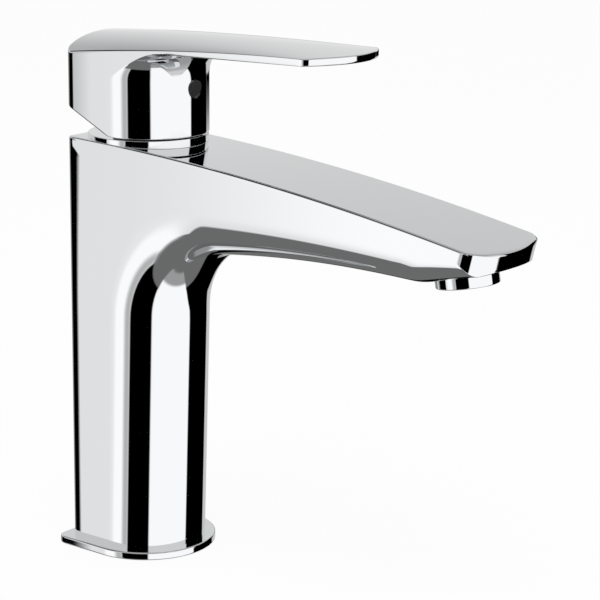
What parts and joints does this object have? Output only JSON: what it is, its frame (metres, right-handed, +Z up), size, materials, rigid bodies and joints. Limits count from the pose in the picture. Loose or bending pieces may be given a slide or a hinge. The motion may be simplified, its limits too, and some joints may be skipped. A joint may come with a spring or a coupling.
{
  "type": "bathroom mixer faucet",
  "caption": "Chrome single-lever basin mixer: a flat-backed column bends into a long flat spout, with a lever on top that lifts for flow and turns for temperature.",
  "frame": {"origin": "on the cartridge axis, where the foot meets the deck", "axes": "+Z up, the spout points to -Y, the flat back faces +Y"},
  "size_m": [0.0534, 0.1942, 0.2038],
  "materials": {
    "chrome": "bright chrome plate on brass",
    "nut_brass": "plain turned brass",
    "steel": "plain stainless steel",
    "seal_rubber": "black rubber",
    "disc_ceramic": "lapped alumina",
    "cartridge_plastic": "moulded acetal",
    "stop_plastic": "grey moulded plastic",
    "aerator_plastic": "moulded plastic",
    "plug_plastic": "grey moulded plastic"
  },
  "bodies": {
    "faucet": {"body": "chrome", "base_plate": "chrome", "base_gasket": "seal_rubber", "cap_ring": "chrome", "retaining_nut": "nut_brass", "cartridge_housing": "cartridge_plastic", "cartridge_o_ring": "seal_rubber", "cartridge_base": "cartridge_plastic", "inlet_seals": "seal_rubber", "disc_seals": "seal_rubber", "fixed_disc": "disc_ceramic", "stop_ring": "stop_plastic", "aerator_collar": "chrome", "aerator_insert": "aerator_plastic", "aerator_strainer": "aerator_plastic", "aerator_washer": "seal_rubber"},
    "turret": {"turret": "cartridge_plastic", "pivot_pin": "steel"},
    "lever": {"lever_handle": "chrome", "lever_stem": "steel", "set_screw": "steel", "index_plug": "plug_plastic"},
    "disc_slider": {"disc_carrier": "cartridge_plastic", "moving_disc": "disc_ceramic"}
  },
  "joints": [
    {"name": "temperature_turn", "type": "hinge", "parent": "faucet", "child": "turret", "pos_m": [0, 0, 0.1615], "axis": [0, 0, 1], "range_deg": [-50, 50]},
    {"name": "lever_lift", "type": "hinge", "parent": "turret", "child": "lever", "pos_m": [0, 0, 0.1615], "axis": [-1, 0, 0], "range_deg": [0, 22]},
    {"name": "disc_slide", "type": "slide", "parent": "turret", "child": "disc_slider", "axis": [0, -1, 0], "range_m": [0, 0.0054]}
  ],
  "couplings": [
    {"joint": "disc_slide", "follows": "lever_lift", "m_per_rad": 0.014}
  ]
}
